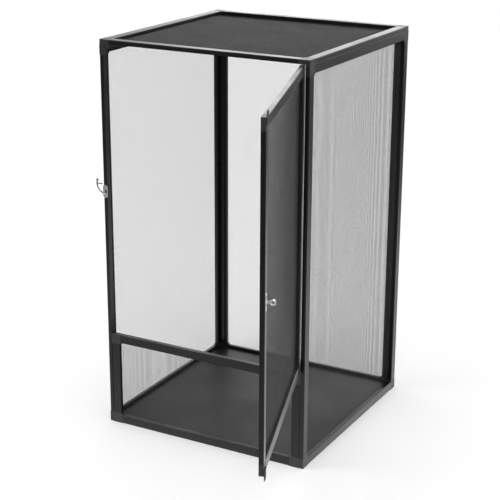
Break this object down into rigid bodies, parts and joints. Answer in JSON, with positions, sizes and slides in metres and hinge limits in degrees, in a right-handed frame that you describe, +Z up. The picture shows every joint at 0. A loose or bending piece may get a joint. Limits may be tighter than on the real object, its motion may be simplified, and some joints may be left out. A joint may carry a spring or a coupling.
{
  "type": "reptile terrarium",
  "caption": "Tall screen terrarium: framed mesh walls and lid over a solid floor, with a side-hinged mesh door above a fixed lower front panel and a swinging hook latch.",
  "frame": {"origin": "middle of the floor's underside, on the ground under the middle of the cage", "axes": "+X to the right seen from the door's side, +Y to the back, +Z up; the door is on -Y"},
  "size_m": [0.6052, 0.8513, 0.8],
  "materials": {
    "black_aluminium": "satin black coating",
    "connector_plastic": "fine matte",
    "screen_mesh": "black coated woven wire",
    "spline_rubber": "matte",
    "tab_plastic": "fine matte",
    "floor_board": "fine matte",
    "pin_steel": "bright",
    "latch_steel": "bright plated"
  },
  "bodies": {
    "cage": {"left_panel_front_stile": "black_aluminium", "left_panel_rear_stile": "black_aluminium", "left_panel_top_rail": "black_aluminium", "left_panel_bottom_rail": "black_aluminium", "left_panel_corners": "connector_plastic", "left_panel_spline": "spline_rubber", "left_panel_mesh": "screen_mesh", "right_panel_front_stile": "black_aluminium", "right_panel_rear_stile": "black_aluminium", "right_panel_top_rail": "black_aluminium", "right_panel_bottom_rail": "black_aluminium", "right_panel_corners": "connector_plastic", "right_panel_spline": "spline_rubber", "right_panel_mesh": "screen_mesh", "back_panel_left_stile": "black_aluminium", "back_panel_right_stile": "black_aluminium", "back_panel_top_rail": "black_aluminium", "back_panel_bottom_rail": "black_aluminium", "back_panel_corners": "connector_plastic", "back_panel_spline": "spline_rubber", "back_panel_mesh": "screen_mesh", "lid_left_rail": "black_aluminium", "lid_right_rail": "black_aluminium", "lid_rear_rail": "black_aluminium", "lid_front_rail": "black_aluminium", "lid_corners": "connector_plastic", "lid_spline": "spline_rubber", "lid_mesh": "screen_mesh", "lower_panel_left_stile": "black_aluminium", "lower_panel_right_stile": "black_aluminium", "lower_panel_top_rail": "black_aluminium", "lower_panel_bottom_rail": "black_aluminium", "lower_panel_corners": "connector_plastic", "lower_panel_spline": "spline_rubber", "lower_panel_mesh": "screen_mesh", "floor_panel": "floor_board", "frame_dowels": "pin_steel", "latch_plate": "latch_steel", "latch_rivet": "latch_steel", "latch_screws": "latch_steel"},
    "door": {"door_free_stile": "black_aluminium", "door_hinge_stile": "black_aluminium", "door_top_rail": "black_aluminium", "door_bottom_rail": "black_aluminium", "door_corners": "connector_plastic", "door_spline": "spline_rubber", "door_mesh": "screen_mesh", "door_tabs": "tab_plastic", "hinge_pins": "pin_steel", "catch_plate": "latch_steel", "catch_ring": "latch_steel", "catch_screws": "latch_steel"},
    "latch_hook": {"latch_hook": "latch_steel"}
  },
  "joints": [
    {"name": "door_hinge", "type": "hinge", "parent": "cage", "child": "door", "pos_m": [0.21069, -0.222, 0.49475], "axis": [0, 0, 1], "range_deg": [-109, 9]},
    {"name": "hook_pivot", "type": "hinge", "parent": "cage", "child": "latch_hook", "pos_m": [-0.22075, -0.228, 0.496], "axis": [0, 1, 0], "range_deg": [0, 133]}
  ]
}
